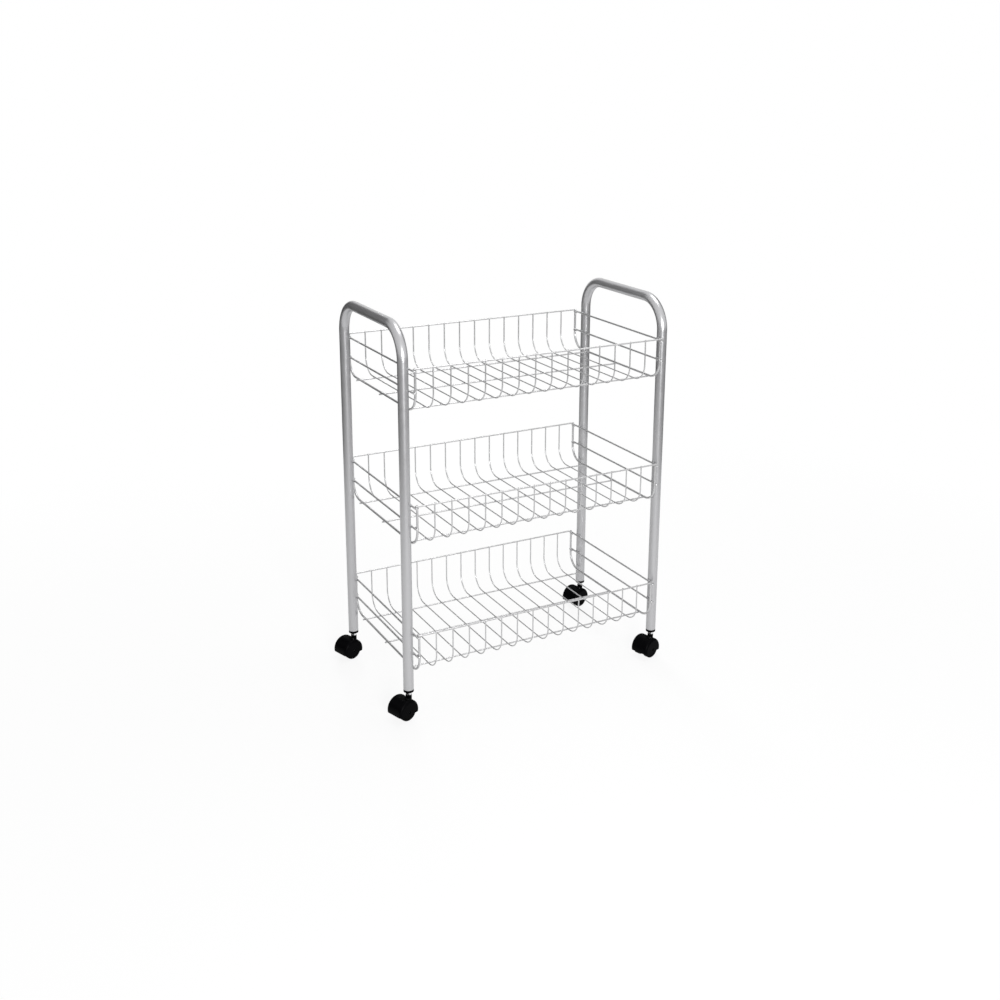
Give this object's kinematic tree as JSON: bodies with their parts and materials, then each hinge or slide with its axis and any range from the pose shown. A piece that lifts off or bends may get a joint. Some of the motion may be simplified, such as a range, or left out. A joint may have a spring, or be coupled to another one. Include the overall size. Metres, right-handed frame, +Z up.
{
  "type": "rolling cart",
  "caption": "Slim rolling storage cart: wire baskets hung on rails between bent tube end frames that double as push handles, on swivel twin-wheel casters.",
  "frame": {"origin": "on the floor under the middle of the cart, midway between the four legs", "axes": "+Z up; +Y from the front to the back; +X to the right along the baskets' length, seen from the front"},
  "size_m": [0.4921, 0.2716, 0.617],
  "materials": {
    "tube_silver": "smooth silver-grey paint, satin gloss",
    "wire_silver": "smooth silver-grey paint over drawn wire",
    "pin_steel": "bright zinc-plated turned steel",
    "hood_black": "moulded black plastic, slight sheen",
    "wheel_black": "hard black plastic tread"
  },
  "bodies": {
    "frame": {"back_left_caster_socket": "hood_black", "back_right_caster_socket": "hood_black", "front_left_caster_socket": "hood_black", "front_right_caster_socket": "hood_black", "left_end_frame": "tube_silver", "lower_basket_back_top_wire": "wire_silver", "lower_basket_cross_ribs": "wire_silver", "lower_basket_floor_wires": "wire_silver", "lower_basket_front_top_wire": "wire_silver", "lower_basket_left_end_rib": "wire_silver", "lower_basket_right_end_rib": "wire_silver", "lower_left_second_rail": "wire_silver", "lower_left_top_rail": "wire_silver", "lower_right_second_rail": "wire_silver", "lower_right_top_rail": "wire_silver", "middle_basket_back_top_wire": "wire_silver", "middle_basket_cross_ribs": "wire_silver", "middle_basket_floor_wires": "wire_silver", "middle_basket_front_top_wire": "wire_silver", "middle_basket_left_end_rib": "wire_silver", "middle_basket_right_end_rib": "wire_silver", "middle_left_second_rail": "wire_silver", "middle_left_top_rail": "wire_silver", "middle_right_second_rail": "wire_silver", "middle_right_top_rail": "wire_silver", "right_end_frame": "tube_silver", "upper_basket_back_top_wire": "wire_silver", "upper_basket_cross_ribs": "wire_silver", "upper_basket_floor_wires": "wire_silver", "upper_basket_front_top_wire": "wire_silver", "upper_basket_left_end_rib": "wire_silver", "upper_basket_right_end_rib": "wire_silver", "upper_left_second_rail": "wire_silver", "upper_left_top_rail": "wire_silver", "upper_right_second_rail": "wire_silver", "upper_right_top_rail": "wire_silver"},
    "front_left_swivel": {"front_left_caster_stem": "pin_steel", "front_left_caster_hood": "hood_black", "front_left_caster_axle": "pin_steel"},
    "front_left_front_wheel": {"front_left_caster_front_wheel": "wheel_black"},
    "front_left_back_wheel": {"front_left_caster_back_wheel": "wheel_black"},
    "front_right_swivel": {"front_right_caster_stem": "pin_steel", "front_right_caster_hood": "hood_black", "front_right_caster_axle": "pin_steel"},
    "front_right_front_wheel": {"front_right_caster_front_wheel": "wheel_black"},
    "front_right_back_wheel": {"front_right_caster_back_wheel": "wheel_black"},
    "back_left_swivel": {"back_left_caster_stem": "pin_steel", "back_left_caster_hood": "hood_black", "back_left_caster_axle": "pin_steel"},
    "back_left_front_wheel": {"back_left_caster_front_wheel": "wheel_black"},
    "back_left_back_wheel": {"back_left_caster_back_wheel": "wheel_black"},
    "back_right_swivel": {"back_right_caster_stem": "pin_steel", "back_right_caster_hood": "hood_black", "back_right_caster_axle": "pin_steel"},
    "back_right_front_wheel": {"back_right_caster_front_wheel": "wheel_black"},
    "back_right_back_wheel": {"back_right_caster_back_wheel": "wheel_black"}
  },
  "joints": [
    {"name": "front_left_swivel_turn", "type": "hinge", "parent": "frame", "child": "front_left_swivel", "pos_m": [-0.224, -0.1145, 0.0393], "axis": [0, 0, 1], "continuous": true},
    {"name": "front_left_front_wheel_roll", "type": "hinge", "parent": "front_left_swivel", "child": "front_left_front_wheel", "pos_m": [-0.23567, -0.11807, 0.015], "axis": [0.2924, -0.9563, 0], "continuous": true},
    {"name": "front_left_back_wheel_roll", "type": "hinge", "parent": "front_left_swivel", "child": "front_left_back_wheel", "pos_m": [-0.23567, -0.11807, 0.015], "axis": [0.2924, -0.9563, 0], "continuous": true},
    {"name": "front_right_swivel_turn", "type": "hinge", "parent": "frame", "child": "front_right_swivel", "pos_m": [0.224, -0.1145, 0.0393], "axis": [0, 0, 1], "continuous": true},
    {"name": "front_right_front_wheel_roll", "type": "hinge", "parent": "front_right_swivel", "child": "front_right_front_wheel", "pos_m": [0.21233, -0.11807, 0.015], "axis": [0.2924, -0.9563, 0], "continuous": true},
    {"name": "front_right_back_wheel_roll", "type": "hinge", "parent": "front_right_swivel", "child": "front_right_back_wheel", "pos_m": [0.21233, -0.11807, 0.015], "axis": [0.2924, -0.9563, 0], "continuous": true},
    {"name": "back_left_swivel_turn", "type": "hinge", "parent": "frame", "child": "back_left_swivel", "pos_m": [-0.224, 0.1145, 0.0393], "axis": [0, 0, 1], "continuous": true},
    {"name": "back_left_front_wheel_roll", "type": "hinge", "parent": "back_left_swivel", "child": "back_left_front_wheel", "pos_m": [-0.23567, 0.11093, 0.015], "axis": [0.2924, -0.9563, 0], "continuous": true},
    {"name": "back_left_back_wheel_roll", "type": "hinge", "parent": "back_left_swivel", "child": "back_left_back_wheel", "pos_m": [-0.23567, 0.11093, 0.015], "axis": [0.2924, -0.9563, 0], "continuous": true},
    {"name": "back_right_swivel_turn", "type": "hinge", "parent": "frame", "child": "back_right_swivel", "pos_m": [0.224, 0.1145, 0.0393], "axis": [0, 0, 1], "continuous": true},
    {"name": "back_right_front_wheel_roll", "type": "hinge", "parent": "back_right_swivel", "child": "back_right_front_wheel", "pos_m": [0.21233, 0.11093, 0.015], "axis": [0.2924, -0.9563, 0], "continuous": true},
    {"name": "back_right_back_wheel_roll", "type": "hinge", "parent": "back_right_swivel", "child": "back_right_back_wheel", "pos_m": [0.21233, 0.11093, 0.015], "axis": [0.2924, -0.9563, 0], "continuous": true}
  ]
}
